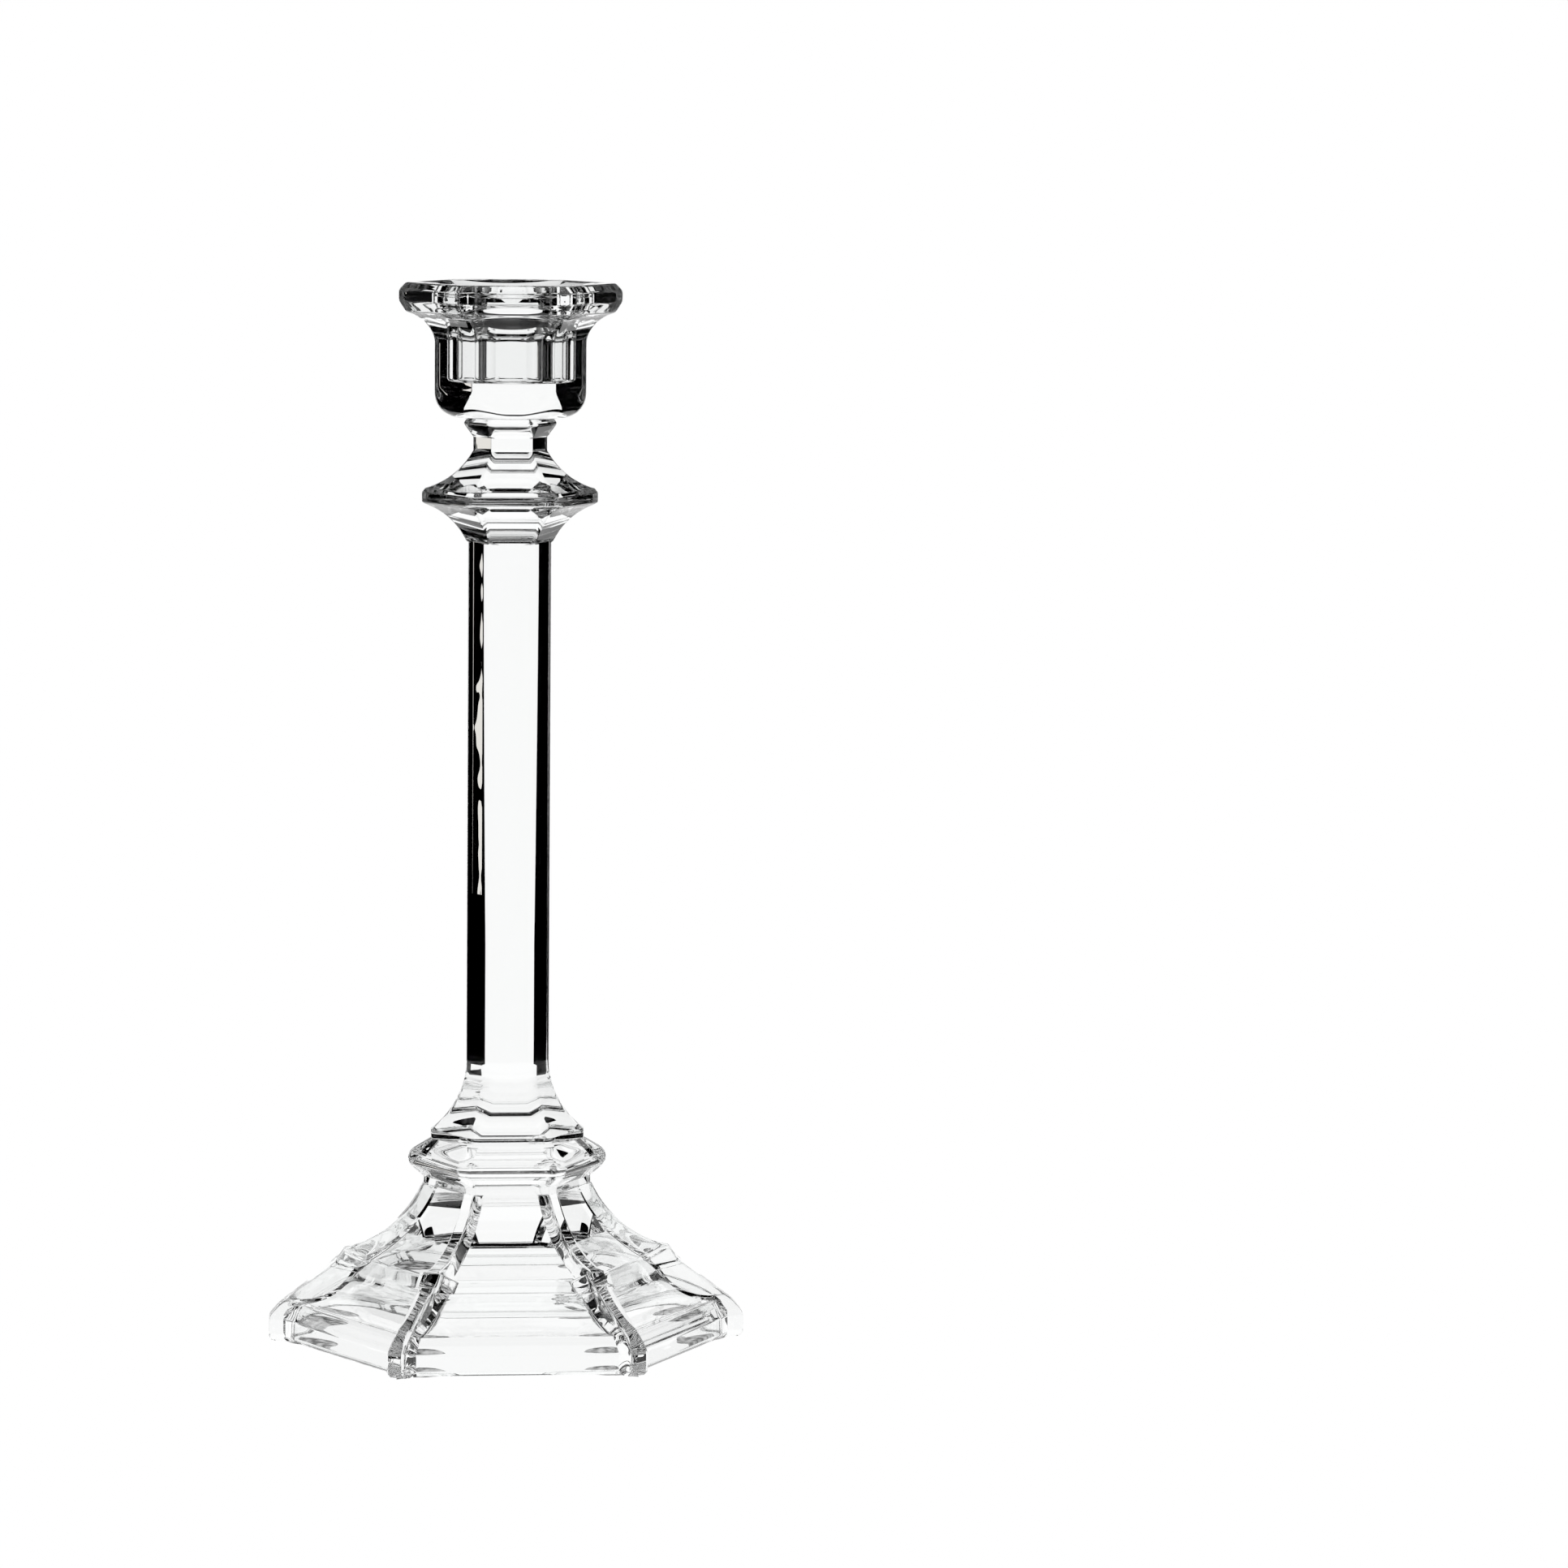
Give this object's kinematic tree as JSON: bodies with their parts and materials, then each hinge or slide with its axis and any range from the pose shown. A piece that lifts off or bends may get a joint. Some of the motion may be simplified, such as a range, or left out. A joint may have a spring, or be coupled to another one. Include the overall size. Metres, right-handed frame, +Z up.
{
  "type": "glass candlestick",
  "caption": "Tall six-sided clear glass candlestick: ribbed, hollow spreading foot, straight blunt-cornered stem between two knops, and a flared cup with a round candle socket.",
  "frame": {"origin": "centre of the foot's underside, on the table", "axes": "+Z up along the stick's axis; two flats of the six-sided form face +Y and -Y, and two corners point along +X and -X"},
  "size_m": [0.1144, 0.1012, 0.254],
  "materials": {
    "clear_glass": "fire-polished, smooth and clear"
  },
  "bodies": {
    "root": {"foot": "clear_glass", "foot_knop": "clear_glass", "stem": "clear_glass", "stem_knop": "clear_glass", "neck": "clear_glass", "wafer": "clear_glass", "candle_cup": "clear_glass"}
  },
  "joints": []
}
